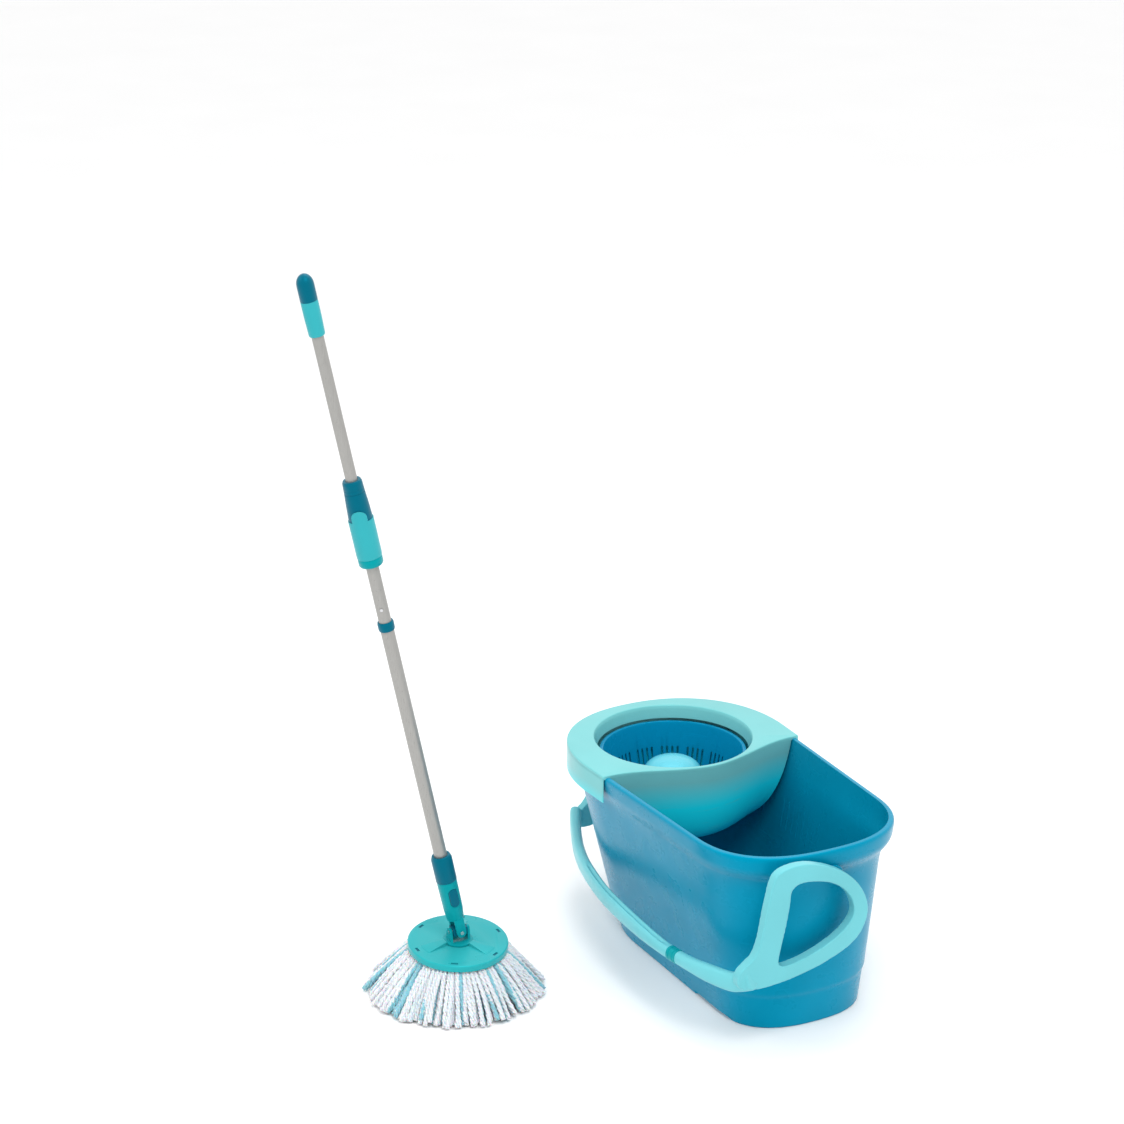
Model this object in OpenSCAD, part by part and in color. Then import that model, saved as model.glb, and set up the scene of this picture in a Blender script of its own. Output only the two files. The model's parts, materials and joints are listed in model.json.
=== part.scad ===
// Spin mop set: a spin bucket with a turning basket and a bail, and a disc mop with a push-to-spin handle.
// Millimetres. The origin is on the floor under the middle of the bucket's base. +X points to the wash end,
// -Y to the mop that stands beside the bucket, +Z up.

/* [Bucket] */
// Height of the tub's rim above the floor
tub_h = 264; // [255:1:275]
// Rim: rear end, as X
rim_rear = -271; // [-274:1:-268]
// Rim: front end, as X
rim_front = 281; // [278:1:284]
// Rim: half width where the round rear end starts
rim_half_rear = 156.5; // [154:0.5:159]
// Rim: half width towards the front
rim_half_front = 140.5; // [138:0.5:143]
// Base: rear end, as X
base_rear = -191.5; // [-194:0.5:-189]
// Base: front end, as X
base_front = 255; // [252:1:257]
// Base: half width
base_half = 109.5; // [107:0.5:111]
// Thickness of the tub's wall
tub_wall = 3; // [2.5:0.1:3.5]
// Depth of the skirt below the rim
skirt_h = 33; // [30:1:36]

/* [Spin insert and basket] */
// Centre of the basket, as X
basket_x = -140; // [-142:1:-139]
// Radius of the opening in the collar
opening_r = 113.5; // [112:0.5:114]
// Outer radius of the basket at its rim
basket_r = 103; // [101:0.5:104]
// Outer radius of the basket at its floor
basket_floor_r = 82; // [78:1:83]
// Height of the basket's floor
basket_floor_z = 166; // [165:0.5:168]
// Height of the basket's rim
basket_rim_z = 247; // [245:0.5:248]
// Number of slot groups around the basket
slot_groups = 15; // [12:1:16]
// Slots in each group
slots_per_group = 4; // [2:1:4]

/* [Bail] */
// Height of the bail's pivots
pivot_z = 230; // [229:1:231]
// Thickness of the bail's end loops
loop_t = 14; // [12:0.5:15]
// Radius of the pivot pins
pivot_r = 5; // [4:0.1:6]

/* [Mop head] */
// Radius of the disc
disc_r = 68; // [66:1:70]
// Tilt of the disc about Y, in degrees
disc_tilt = 4.9; // [0:0.1:5]
// Radius of the yarn where it meets the floor
fringe_r = 121; // [115:1:124]
// Height of the plain yarn solid
fringe_h = 54; // [50:1:55]

/* [Handle] */
// Lean of the handle away from the bucket, in degrees
lean = 12; // [6:1:14]
// Outer radius of the lower tube
lower_tube_r = 9; // [9:0.05:9.2]
// Length of one turn of the twisted drive rod
rod_pitch = 240; // [200:10:300]

/* [Hidden] */
$fn = 64;
fit = 0.05;            // radial clearance of a running fit
gap = 0.3;             // clearance between neighbouring shapes

// Tub outline
round_rear_top = 163;  // depth of the round rear end, at the rim and at the base
round_rear_base = 131;
round_front_top = 120; // depth of the rounded front end, at the rim and at the base
round_front_base = 95;
rear_power = 2.22;     // superellipse powers of the two ends
front_power = 2.5;
wall_inset = 5;        // the wall stands this far inside the skirt
plinth_inset = 6.8;    // and the foot of the wall this far, up to plinth_h
plinth_h = 49;
front_flare = 8;       // the rim stands out this much further at the front end,
side_flare = 0.7;      // and this share of it at the front's sides
notch_x = [108, 203];  // finger notches under both long sides of the base
notch_h = 5;
notch_y = 96;
end_steps = 9;         // points on each quarter of an outline

// Spin insert
collar_t = 3;          // thickness of the collar's top
collar_skirt_t = 2;
collar_top = tub_h + 0.2 + collar_t;
arch_mid_x = -22;      // front edge of the collar at its middle, and how far its ends lie behind that
arch_back = 36;
arch_half = 145;       // half width at which the front edge reaches the rim
bowl_bottom_z = 148;
bowl_bottom_r = 82;
bowl_t = 2.6;
bowl_power = 2.6;
lip_z = 249;           // foot of the sloping lip around the opening
lip_r = 106.5;

// Basket bearing
axle_r = 4;
axle_low = 141;
axle_top = 214;
bush_r = 7;
hub_tube_r = 9.5;
hub_top_z = 209;
dome_r = 42;
dome_h = 27;
dome_mid_z = 206;
dome_t = 2.2;
dome_power = 2.4;
slot_w = 3;
slot_low = 175;
slot_top = 212;
slot_turn = 9;         // middle of the first slot group, in degrees

// Bail
front_loop_x = 285;    // inner faces of the two end loops at the pivots
rear_loop_x = -278;
front_pin_x = 273;   // blind ends of the pivot pins
rear_pin_x = -257;
loop_slope = 0.12;     // the loops lean with the end walls
boss_r = 13;           // bosses on the tub that carry the pivot pins
boss_gap = loop_slope * boss_r + gap;
pin_depth = 9;         // how far a pivot pin reaches into its loop
bar_t = 8;             // half thickness of the bail's bar
band_w = 9;            // its half height under the band
band_l = 14;           // band around the bar, and the core of the bar under it
band_core_t = 8.5;
band_core_h = 12;
// Middle of the bar from the front loop to the rear one, with its half height as the fourth number
bar_route = [[286, -124, 109, 13], [270, -132.5, 102, 13.5], [254, -139, 97.5, 13.5], [223, -152, 98, 12.5],
    [192, -159.5, 97.5, 10], [158, -165, 97.5, 9], [127, -169, 98.5, 9.5], [77.5, -171, 100, 11.5],
    [18, -168.5, 100, 12.5], [-42, -163.5, 100.5, 12.5], [-120, -148, 101, 12.5], [-174, -131, 102, 12.5],
    [-221, -111, 105, 12], [-250, -97, 110, 11.5], [-271, -86, 114, 11]];
front_outline = [[-53, 35], [-79, 36], [-97, 30], [-104, 17], [-107, -2], [-110, -24], [-112, -47], [-115, -70],
    [-121, -88], [-131, -97], [-141, -107], [-144, -119], [-140, -130], [-127, -136], [-108, -139], [-81, -138],
    [-55, -134], [-28, -128], [-2, -119], [24, -106], [41, -88], [48, -62], [43, -38], [29, -14], [8, 7],
    [-21, 24]];
front_hole = [[-43, 7], [-63, 8], [-74, 0], [-75, -19], [-78, -52], [-82, -81], [-84, -103], [-80, -111],
    [-70, -113], [-47, -109], [-21, -100], [3, -87], [20, -71], [26, -54], [19, -32], [3, -13], [-18, 0]];
rear_outline = [[-10, 19], [-28, 22], [-44, 16], [-52, 2], [-55, -20], [-57, -45], [-59, -70], [-62, -90],
    [-69, -103], [-80, -112], [-88, -122], [-88, -133], [-78, -138], [-60, -137], [-36, -131], [-10, -120],
    [14, -105], [32, -86], [40, -63], [37, -38], [25, -14], [8, 8]];
rear_hole = [[-30, -6], [-38, -14], [-40, -40], [-43, -70], [-47, -95], [-44, -108], [-34, -112], [-10, -102],
    [8, -88], [19, -68], [20, -50], [12, -30], [-2, -16], [-16, -8]];

// Mop
cardan = [-51, -381, 92];
pin_up = 16;           // height of the cardan above the disc
disc_t = 9;
tab_at_r = 60.5;
tabs = 6;
ring_low = 14;
blue_strands = 14;
cheek_in = 11;         // inner and outer faces of the yoke's cheeks
cheek_out = 14.5;
pin_r = 2.5;
ear_in = 7.6;          // inner and outer faces of the connector's ears
ear_out = 12;
ear_swing_r = 14.5;    // relief in the yoke's base, for the ears to swing through
ear_r = 6.6;

// Handle stations, measured up the handle from the cardan
neck_low = 20;
neck_top = 36;
button_mid = 56.5;
button_half_l = 13.5;
button_half_w = 6;
button_flange = 1.5;
connector_top = 80;
sleeve_top = 119;
tube_wall = 0.6;
middle_r = lower_tube_r - tube_wall - fit;
upper_r = middle_r - tube_wall - fit - fit;
upper_in = upper_r - 0.7;
lower_tube_low = 75;
ring_bottom = 460;
lower_tube_top = 470;
rivet_at = 492;
middle_low = 140;
bearing_low = 150;
bearing_top = 162;
rod_low = 165;
rod_top = 588;
rod_w = 8;
rod_t = 2.4;
journal_r = 4.5;
lock_ring_low = 554;
lock_sleeve_low = 566;
lock_sleeve_top = 619;
housing_low = 572;
middle_top = 600;
guide_top = 612;
housing_top = 673;
upper_low = 384;
nut_h = 12;
grip_low = 870;
grip_mid = 916;
grip_top = 951;
grip_r = 11;
grip_seat = 928;       // the upper tube ends here, inside the cap
tongue_turn = -28;     // the lock sleeve's tongue faces this way around the handle

function mix(a, b, t) = a + (b - a) * t;

// Half of an outline, from the middle of its front edge round to the middle of its rear edge
function half_plan(rear, front, half_rear, half_front, round_rear, round_front) =
    let (rear_mid = rear + round_rear, front_mid = front - round_front)
    concat(
        [for (i = [0:end_steps]) let (a = 90 * i / end_steps,
                x = front_mid + round_front * pow(cos(a), 2 / front_power),
                half = mix(half_rear, half_front, (x - rear_mid) / (front - rear_mid)))
            [x, half * pow(sin(a), 2 / front_power)]],
        [for (i = [0:end_steps]) let (a = 90 * i / end_steps)
            [rear_mid - round_rear * pow(sin(a), 2 / rear_power), half_rear * pow(cos(a), 2 / rear_power)]]);

// The same outline closed by its mirror image, counter-clockwise seen from above
function close_plan(half) = concat(half, [for (i = [len(half) - 2:-1:1]) [half[i][0], -half[i][1]]]);

// Half outline of the tub at height z, drawn in by inset, and by pull more at the front of the rim
function tub_half(z, inset, pull = 0) = let (f = z / tub_h) half_plan(
    mix(base_rear, rim_rear, f) + inset, mix(base_front, rim_front - pull, f) - inset,
    mix(base_half, rim_half_rear, f) - inset, mix(base_half, rim_half_front - side_flare * pull, f) - inset,
    mix(round_rear_base, round_rear_top, f) - inset, mix(round_front_base, round_front_top, f) - inset);

function at_height(points, z) = [for (p = points) [p[0], p[1], z]];
function tub_ring(z, inset, pull = front_flare) = at_height(close_plan(tub_half(z, inset, pull)), z);

// Closed skin through rings of equal length, capped at both ends
module loft(rings) {
    n = len(rings[0]);
    last = (len(rings) - 1) * n;
    polyhedron(points = [for (r = rings) each r], faces = concat(
        [[for (i = [0:n - 1]) i]],
        [for (k = [0:len(rings) - 2], i = [0:n - 1]) let (a = k * n + i, b = k * n + (i + 1) % n)
            each [[a, a + n, b + n], [a, b + n, b]]],
        [[for (i = [n - 1:-1:0]) last + i]]), convexity = 8);
}

module bar_x(r, x0, x1, y = 0, z = 0) translate([x0, y, z]) rotate([0, 90, 0]) cylinder(r = r, h = x1 - x0);
module bar_y(r, y0, y1, x = 0, z = 0) translate([x, y1, z]) rotate([90, 0, 0]) cylinder(r = r, h = y1 - y0);
module pipe(r_out, r_in, low, high) translate([0, 0, low]) difference() {
    cylinder(r = r_out, h = high - low);
    translate([0, 0, -1]) cylinder(r = r_in, h = high - low + 2);
}

module on_disc() translate(cardan) rotate([0, disc_tilt, 0]) translate([0, 0, -pin_up]) children();
module on_handle() translate(cardan) rotate([lean, 0, 0]) children();
module at_basket() translate([basket_x, 0, 0]) children();

// ---- Bucket ----

foot_places = [[-120, 62], [-120, -62], [190, 66], [190, -66]];
foot_r = 12;
foot_t = 2;

module bucket_tub() color([0.0, 0.5, 0.68]) difference() {
    inner = wall_inset + tub_wall;
    union() {
        loft([tub_ring(0, 8), tub_ring(4, plinth_inset), tub_ring(plinth_h, plinth_inset),
            tub_ring(plinth_h + 1.5, wall_inset), tub_ring(150, wall_inset),
            tub_ring(tub_h - skirt_h - 4, wall_inset), tub_ring(tub_h - skirt_h + 1, 0, 0),
            tub_ring(tub_h - 4, 0, 0), tub_ring(tub_h, 3, 0)]);
        bar_x(boss_r, 258, front_loop_x - boss_gap, 0, pivot_z);
        bar_x(boss_r, rear_loop_x + boss_gap, -249, 0, pivot_z);
    }
    loft([tub_ring(4, 21), tub_ring(9, 13), tub_ring(24, inner + 2), tub_ring(150, inner),
        tub_ring(tub_h - skirt_h - 5, inner), tub_ring(tub_h - skirt_h + 5, inner, 0),
        tub_ring(tub_h + 1, inner, 0)]);
    bar_x(pivot_r, front_pin_x, front_loop_x, 0, pivot_z);
    bar_x(pivot_r, rear_loop_x, rear_pin_x, 0, pivot_z);
    for (p = foot_places) translate([p[0], p[1], -1]) cylinder(r = foot_r, h = foot_t + 1);
    for (side = [-1, 1]) translate([notch_x[0], side > 0 ? notch_y : -notch_y - 30, -1])
        cube([notch_x[1] - notch_x[0], 30, notch_h + 1]);
}

module bucket_feet() color([0.1, 0.12, 0.13])
    for (p = foot_places) translate([p[0], p[1], 0]) cylinder(r = foot_r - fit, h = foot_t);

module pivot_pins() color([0.75, 0.76, 0.76]) {
    bar_x(pivot_r, front_pin_x, front_loop_x + pin_depth, 0, pivot_z);
    bar_x(pivot_r, rear_loop_x - pin_depth, rear_pin_x, 0, pivot_z);
}

// Front edge of the collar: a shallow arch that runs straight across the rim
function arch_x(y) = arch_mid_x - arch_back * pow(sin(90 * min(abs(y) / arch_half, 1)), 1.9);

module behind_arch(front_shift = 0) polygon(concat(
    [for (i = [-16:16]) let (y = 12 * i) [arch_x(y) + front_shift, y]], [[-330, 192], [-330, -192]]));

// Half outline of the bowl at height z: arch in front, tub wall at the sides and rear
function bowl_limit(z, inset) = let (rear = tub_half(z, inset), side = rear[end_steps + 1][1] - 3)
    concat([for (i = [0:end_steps]) let (y = side * sin(90 * i / end_steps)) [arch_x(y) - 1, y]],
        [for (i = [end_steps + 1:2 * end_steps + 1]) rear[i]]);

// The bowl draws in from that outline to a round floor
function bowl_ring(z, thin) = let (f = pow(1 - pow((collar_top - z) / (collar_top - bowl_bottom_z), bowl_power),
    1 / bowl_power)) at_height(close_plan([for (p = bowl_limit(z, wall_inset + tub_wall + 0.5))
        let (d = [p[0] - basket_x, p[1]], r = norm(d), s = (mix(bowl_bottom_r, r, f) - thin) / r)
        [basket_x + d[0] * s, d[1] * s]]), z);

module spin_insert() color([0.55, 0.86, 0.87]) {
    difference() {
        loft([bowl_ring(bowl_bottom_z, 4), bowl_ring(150, 0),
            for (z = [156, 168, 185, 210, 240, tub_h]) bowl_ring(z, 0),
            for (z = [tub_h, 240, 210, 185, 168, 157]) bowl_ring(z, bowl_t),
            bowl_ring(151, 6)]);
        at_basket() translate([0, 0, 140]) cylinder(r = axle_r, h = 20);
        at_basket() for (i = [0:9]) rotate([0, 0, 36 * i]) translate([58, 0, 140]) cylinder(r = 7, h = 20);
    }
    difference() {
        translate([0, 0, tub_h]) linear_extrude(height = collar_top - tub_h) intersection() {
            polygon(close_plan(tub_half(tub_h, -0.2 - collar_skirt_t)));
            behind_arch();
        }
        at_basket() translate([0, 0, tub_h - 1]) cylinder(r = opening_r, h = 10, $fn = 128);
    }
    difference() {
        translate([0, 0, tub_h - skirt_h - 3]) linear_extrude(height = skirt_h + 3.1) intersection() {
            difference() {
                polygon(close_plan(tub_half(tub_h, -0.2 - collar_skirt_t)));
                polygon(close_plan(tub_half(tub_h, -0.2)));
            }
            behind_arch();
        }
        bar_x(boss_r + gap, rear_loop_x, -254, 0, pivot_z);
    }
    at_basket() rotate_extrude($fn = 128)
        polygon([[opening_r - 0.1, collar_top], [opening_r - 0.1, tub_h], [opening_r + 0.8, tub_h - 3],
            [lip_r + 2.4, lip_z], [lip_r, lip_z], [opening_r - 3, tub_h - 1], [opening_r - 1.2, collar_top]]);
    at_basket() pipe(12, axle_r, axle_low, 159);
}

module basket_axle() color([0.75, 0.76, 0.76]) at_basket() translate([0, 0, axle_low])
    cylinder(r = axle_r, h = axle_top - axle_low);
module thrust_washer() color([0.9, 0.9, 0.86]) at_basket() pipe(10, axle_r + fit, 159, 160);
module axle_clip() color([0.6, 0.6, 0.62]) at_basket() pipe(7.5, axle_r, hub_top_z + 0.6, hub_top_z + 1.8);

function basket_wall(z) = mix(basket_floor_r, basket_r - 2,
    (z - basket_floor_z) / (basket_rim_z - basket_floor_z));

module spin_basket() color([0.0, 0.47, 0.66]) at_basket() difference() {
    rotate_extrude($fn = 128) polygon([[bush_r, 161], [hub_tube_r, 161], [hub_tube_r, basket_floor_z],
        [basket_floor_r - 5, basket_floor_z], [basket_wall(172), 172], [basket_wall(243), 243],
        [basket_r, 244], [basket_r, basket_rim_z], [basket_r - 4.5, basket_rim_z],
        [basket_wall(240) - 2.4, 240], [basket_wall(173) - 2.4, 173], [basket_floor_r - 7, basket_floor_z + 2.4],
        [hub_tube_r, basket_floor_z + 2.4], [hub_tube_r, hub_top_z], [bush_r, hub_top_z]]);
    for (g = [0:slot_groups - 1], s = [0:slots_per_group - 1])
        rotate([0, 0, slot_turn + (g + (s + 0.5 - slots_per_group / 2) / 5) * 360 / slot_groups])
            translate([basket_floor_r - 8, -slot_w / 2, slot_low]) cube([40, slot_w, slot_top - slot_low]);
    for (i = [0:11]) rotate([0, 0, 30 * i]) translate([58, 0, 160]) cylinder(r = 5, h = 12, $fn = 24);
}

function dome_point(r, h, a) = [r * pow(cos(a), 2 / dome_power), dome_mid_z + h * pow(sin(a), 2 / dome_power)];

module hub_cap() color([0.45, 0.86, 0.94]) at_basket() rotate_extrude()
    polygon(concat([[dome_r - dome_t, basket_floor_z + 2.5], [dome_r, basket_floor_z + 2.5]],
        [for (a = [0:15:90]) dome_point(dome_r, dome_h, a)],
        [for (a = [90:-15:0]) dome_point(dome_r - dome_t, dome_h - dome_t, a)]));

module basket_bush() color([0.86, 0.84, 0.78]) at_basket() pipe(bush_r, axle_r + fit, 160.4, hub_top_z);

// ---- Bail ----

// Closed smooth curve through points, as straight steps between them
function curve_at(p, i, t) = let (n = len(p), a = p[(i + n - 1) % n], b = p[i], c = p[(i + 1) % n],
        d = p[(i + 2) % n])
    0.5 * (2 * b + (c - a) * t + (2 * a - 5 * b + 4 * c - d) * t * t + (3 * b - a - 3 * c + d) * t * t * t);
function smooth(p, steps) = [for (i = [0:len(p) - 1], k = [0:steps - 1]) curve_at(p, i, k / steps)];

// One end loop: a flat plate that leans with the end wall, drawn as Y and Z from the pivot
module end_loop(x, side, outline, hole) translate([x, 0, pivot_z])
    multmatrix([[1, 0, side * loop_slope, 0], [0, 1, 0, 0], [0, 0, 1, 0], [0, 0, 0, 1]])
    rotate([90, 0, 90]) translate([0, 0, side > 0 ? 0 : -loop_t]) linear_extrude(height = loop_t) difference() {
        polygon(smooth(outline, 2));
        polygon(smooth(hole, 2));
    }

function place(p) = [p[0], p[1], p[2]];

// Ring of the bar's section at route point i, square to the route
function bar_ring(i) = let (n = len(bar_route),
    run = place(bar_route[min(i + 1, n - 1)] - bar_route[max(i - 1, 0)]),
    out = cross([0, 0, 1], run), side = out / norm(out), up = cross(run, side) / norm(run))
    [for (a = [0:30:330]) place(bar_route[i]) + side * bar_t * cos(a) + up * bar_route[i][3] * sin(a)];

module bail_handle() color([0.5, 0.87, 0.86]) difference() {
    union() {
        end_loop(front_loop_x, 1, front_outline, front_hole);
        end_loop(rear_loop_x, -1, rear_outline, rear_hole);
        loft([for (i = [0:len(bar_route) - 1]) bar_ring(i)]);
    }
    bar_x(pivot_r + fit, front_loop_x - 10, front_loop_x + pin_depth + 1, 0, pivot_z);
    bar_x(pivot_r + fit, rear_loop_x - pin_depth - 1, rear_loop_x + 10, 0, pivot_z);
    at_band() difference() {
        cube([band_l, 30, 30], center = true);
        cube([band_l + 2, band_core_t, band_core_h], center = true);
    }
}

// A narrow band set into a groove around the bar, towards its front end
module at_band() translate(place(bar_route[5])) rotate([0, 0, 8]) children();

module grip_insert() color([0.05, 0.66, 0.69]) at_band() difference() {
    cube([band_l - 2 * fit, 2 * bar_t - 0.4, 2 * band_w - 0.4], center = true);
    cube([band_l + 2, band_core_t + 2 * fit, band_core_h + 2 * fit], center = true);
    for (x = [-3, 3]) translate([x, -bar_t, 0]) cube([1, 1.2, 30], center = true);
}

// ---- Mop head ----

module disc_plate() color([0.37, 0.8, 0.81]) on_disc() difference() {
    union() {
        rotate_extrude($fn = 128) polygon([[0, -3], [disc_r - 3, -3], [disc_r - 3, -disc_t], [disc_r, -disc_t],
            [disc_r, -1.2], [disc_r - 1.2, 0], [0, 0]]);
        translate([0, 0, -disc_t]) cylinder(r = 22, h = disc_t);
        for (a = [20, 140, 260]) rotate([0, 0, a]) rotate_extrude(angle = 26)
            polygon([[20.3, -0.5], [52, -0.5], [52, 0.3], [20.3, 4.5]]);
    }
    for (i = [0:tabs - 1]) rotate([0, 0, 60 * i + 30])
        translate([tab_at_r - 1.8, -4.6, -4]) cube([3.6, 9.2, 6]);
}

module mop_ring() color([0.02, 0.35, 0.42]) on_disc() {
    pipe(62, 30, -ring_low, -disc_t - gap);
    for (i = [0:tabs - 1]) rotate([0, 0, 60 * i + 30]) translate([tab_at_r - 1.4, -4.2, -ring_low + 1])
        cube([2.8, 8.4, ring_low - 2]);
}

module yarn_body() translate([cardan[0], cardan[1], 0])
    cylinder(r1 = fringe_r, r2 = 70, h = fringe_h, $fn = 96);
module yarn_bands(w) translate([cardan[0], cardan[1], 0]) for (i = [0:blue_strands - 1])
    rotate([0, 0, i * 360 / blue_strands + 7 * sin(i * 97)]) translate([52, -w / 2, -1]) cube([90, w, 70]);

module fringe_white() color([0.93, 0.92, 0.93]) difference() {
    yarn_body();
    yarn_bands(9.2);
}

module fringe_blue() color([0.6, 0.8, 0.86]) intersection() {
    yarn_body();
    yarn_bands(9);
}

module yoke() color([0.07, 0.62, 0.66]) on_disc() {
    difference() {
        translate([0, 0, gap / 10]) cylinder(r = 20, h = 3);
        bar_y(ear_swing_r, -cheek_in, cheek_in, 0, pin_up);
    }
    for (s = [-1, 1]) difference() {
        union() {
            translate([0, s > 0 ? cheek_out : -cheek_in, 0]) rotate([90, 0, 0])
                linear_extrude(height = cheek_out - cheek_in)
                    polygon([[-9, 2], [9, 2], [5.2, pin_up + 2], [-5.2, pin_up + 2]]);
            bar_y(5.6, s > 0 ? cheek_in : -cheek_out, s > 0 ? cheek_out : -cheek_in, 0, pin_up);
        }
        bar_y(pin_r + fit, -20, 20, 0, pin_up);
    }
}

module cross_block() color([0.02, 0.3, 0.38]) translate(cardan) difference() {
    cube([14.4, 20.6, 11], center = true);
    bar_y(pin_r, -12, 12);
    bar_x(pin_r, -9, 9);
}

module yoke_pin() color([0.72, 0.73, 0.74]) translate(cardan) bar_y(pin_r, -cheek_out - 0.4, cheek_out + 0.4);

module fork_pins() color([0.72, 0.73, 0.74]) translate(cardan) {
    bar_x(pin_r, pin_r + 0.1, ear_out + 0.3);
    bar_x(pin_r, -ear_out - 0.3, -pin_r - 0.1);
}

// ---- Lower handle ----

// A slot with round ends, long up the handle, drawn through the wall on the +X side
module oval_x(half_l, half_w, x0, x1) translate([0, 0, button_mid]) {
    for (s = [-1, 1]) bar_x(half_w, x0, x1, 0, s * (half_l - half_w));
    translate([x0, -half_w, half_w - half_l]) cube([x1 - x0, 2 * half_w, 2 * (half_l - half_w)]);
}

module connector() color([0.06, 0.63, 0.66]) on_handle() difference() {
    union() {
        for (s = [0, 1]) mirror([s, 0, 0]) {
            bar_x(ear_r, ear_in, ear_out);
            translate([ear_in, -ear_r, 0]) cube([ear_out - ear_in, 2 * ear_r, neck_low + 2]);
        }
        translate([0, 0, neck_low]) cylinder(r1 = 11.8, r2 = 13.2, h = neck_top - neck_low);
        translate([0, 0, neck_top]) cylinder(r1 = 13.2, r2 = 13.8, h = connector_top - neck_top);
    }
    bar_x(pin_r + fit, -20, 20);
    translate([0, 0, lower_tube_low]) cylinder(r = lower_tube_r + fit, h = 20);
    oval_x(button_half_l + 0.3, button_half_w + 0.3, 0, 20);
    oval_x(button_half_l + 2.3, button_half_w + 2.3, -4, 9);
}

module connector_button() color([0.01, 0.4, 0.52]) on_handle() {
    oval_x(button_half_l, button_half_w, 8, 14.6);
    oval_x(button_half_l + 1.9, button_half_w + 1.9, 7, 7 + button_flange);
}

module button_spring() color([0.7, 0.71, 0.72]) on_handle() translate([-3.6, 0, button_mid])
    rotate([0, 90, 0]) for (i = [0:4]) translate([0, 0, 2.2 * i + 0.4])
        rotate_extrude($fn = 32) translate([3, 0]) circle(r = 0.4, $fn = 16);

module lower_sleeve() color([0.01, 0.4, 0.52]) on_handle() difference() {
    union() {
        translate([0, 0, connector_top + fit]) cylinder(r = 14.2, h = sleeve_top - connector_top - 5);
        translate([0, 0, sleeve_top - 5 + fit]) cylinder(r1 = 14.2, r2 = 12.2, h = 5);
    }
    translate([0, 0, 60]) cylinder(r = lower_tube_r + fit, h = 80);
}

module lower_tube() color([0.72, 0.72, 0.71]) on_handle()
    pipe(lower_tube_r, lower_tube_r - tube_wall, lower_tube_low + 1, lower_tube_top);

module tube_ring() color([0.01, 0.42, 0.55]) on_handle() difference() {
    rotate_extrude() polygon([[lower_tube_r + fit, ring_bottom], [10.2, ring_bottom], [10.8, ring_bottom + 2],
        [10.8, lower_tube_top], [10, lower_tube_top + 2.5], [middle_r + fit, lower_tube_top + 2.5],
        [middle_r + fit, lower_tube_top + 0.3], [lower_tube_r + fit, lower_tube_top + 0.3]]);
}

module middle_tube() color([0.7, 0.7, 0.69]) on_handle() difference() {
    pipe(middle_r, middle_r - tube_wall, middle_low, middle_top);
    rotate([0, 0, tongue_turn]) bar_x(2.2, 5, 12, 0, rivet_at);
}

module tube_rivet() color([0.2, 0.24, 0.26]) on_handle() rotate([0, 0, tongue_turn])
    bar_x(2.2 - fit, middle_r - tube_wall + 0.1, middle_r + 1, 0, rivet_at);

module clutch_bearing() color([0.85, 0.83, 0.76]) on_handle()
    pipe(middle_r - tube_wall - fit / 2, journal_r + fit, bearing_low, bearing_top);

module coupling_housing() color([0.04, 0.42, 0.52]) on_handle() difference() {
    rotate_extrude() polygon([[middle_r + fit, housing_low], [14.6, housing_low], [15.4, housing_low + 2],
        [15.4, 624], [14.6, 640], [13.4, 656], [12.8, housing_top - 3], [11.6, housing_top],
        [upper_r + 0.4, housing_top], [upper_r + 0.4, guide_top], [12, guide_top], [12, middle_top],
        [middle_r + fit, middle_top]]);
    for (s = [0:2]) translate([0, 0, 656 + 5 * s]) pipe(20, 13, 0, 1.2);
}

module top_guide() color([0.85, 0.83, 0.76]) on_handle()
    pipe(12 - fit, upper_r + fit, middle_top + 0.2, guide_top - 0.2);

// ---- Drive rod ----

// Section of the twisted strip at height z, and the strip as a skin through such sections
function strip_ring(w, t, z) = let (a = 360 * (z - rod_low) / rod_pitch)
    [for (p = [[-w, -t], [w, -t], [w, t], [-w, t]])
        [p[0] * cos(a) - p[1] * sin(a), p[0] * sin(a) + p[1] * cos(a), 2 * z] / 2];

module rod_strip(w, t, low, high) {
    steps = ceil((high - low) / 5);
    loft([for (i = [0:steps]) strip_ring(w, t, mix(low, high, i / steps))]);
}

module drive_rod() color([0.76, 0.77, 0.77]) on_handle() {
    rod_strip(rod_w, rod_t, rod_low, rod_top);
    translate([0, 0, bearing_top + 0.2]) cylinder(r = 6, h = rod_low - bearing_top);
    translate([0, 0, bearing_low - 3.2]) cylinder(r = journal_r, h = bearing_top - bearing_low + 4);
}

module rod_collar() color([0.5, 0.52, 0.54]) on_handle()
    pipe(6.2, journal_r, bearing_low - 3.2, bearing_low - 0.2);

// ---- Lock ----

module lock_sleeve() color([0.3, 0.78, 0.82]) on_handle() difference() {
    union() {
        rotate_extrude() polygon([[15.5, lock_sleeve_low], [16.2, lock_sleeve_low], [16.5, lock_sleeve_low + 3],
            [16.5, lock_sleeve_top], [15.5, lock_sleeve_top]]);
        intersection() {
            pipe(16.5, 15.5, lock_sleeve_top - 1, lock_sleeve_top + 20);
            rotate([0, 0, tongue_turn]) union() {
                bar_x(10, 5, 20, 0, lock_sleeve_top + 6);
                translate([5, -10, lock_sleeve_top - 10]) cube([15, 20, 16]);
            }
        }
    }
}

module lock_ring() color([0.05, 0.66, 0.7]) on_handle() rotate_extrude() polygon([
    [middle_r + 0.2, lock_ring_low], [14.6, lock_ring_low], [16, lock_ring_low + 2.5], [16, lock_sleeve_low],
    [middle_r + 0.2, lock_sleeve_low]]);

// ---- Upper handle ----

module upper_tube() color([0.74, 0.74, 0.73]) on_handle() pipe(upper_r, upper_in, upper_low, grip_seat - 1);

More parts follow.
